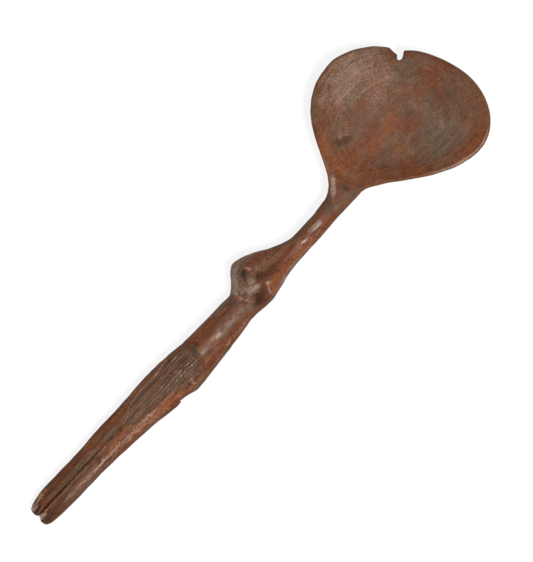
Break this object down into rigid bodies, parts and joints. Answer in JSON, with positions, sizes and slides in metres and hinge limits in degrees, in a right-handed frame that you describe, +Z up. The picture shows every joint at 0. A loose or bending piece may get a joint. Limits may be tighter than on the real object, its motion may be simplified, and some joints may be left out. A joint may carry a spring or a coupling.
{
  "type": "carved wooden spoon",
  "caption": "Hand-carved wooden spoon with a broad shallow bowl, a slender neck and a handle carved as a standing female figure with a hatched apron.",
  "frame": {"origin": "on the table, in the flat worn rest under the bowl, on the centre line of the handle", "axes": "+X from the feet to the tip of the bowl along the handle, +Z up out of the hollow, +Y to the figure's own right"},
  "size_m": [0.3398, 0.0926, 0.0249],
  "materials": {
    "bowl_wood": "satin, with a grey worn patina",
    "handle_wood": "polished by handling",
    "apron_wood": "matt in the cuts, worn on the ridges",
    "leg_wood": "satin, with tool marks"
  },
  "bodies": {
    "root": {"bowl": "bowl_wood", "neck": "handle_wood", "bust": "handle_wood", "torso": "handle_wood", "hips": "apron_wood", "right_leg": "leg_wood", "left_leg": "leg_wood", "right_foot": "leg_wood", "left_foot": "leg_wood"}
  },
  "joints": []
}
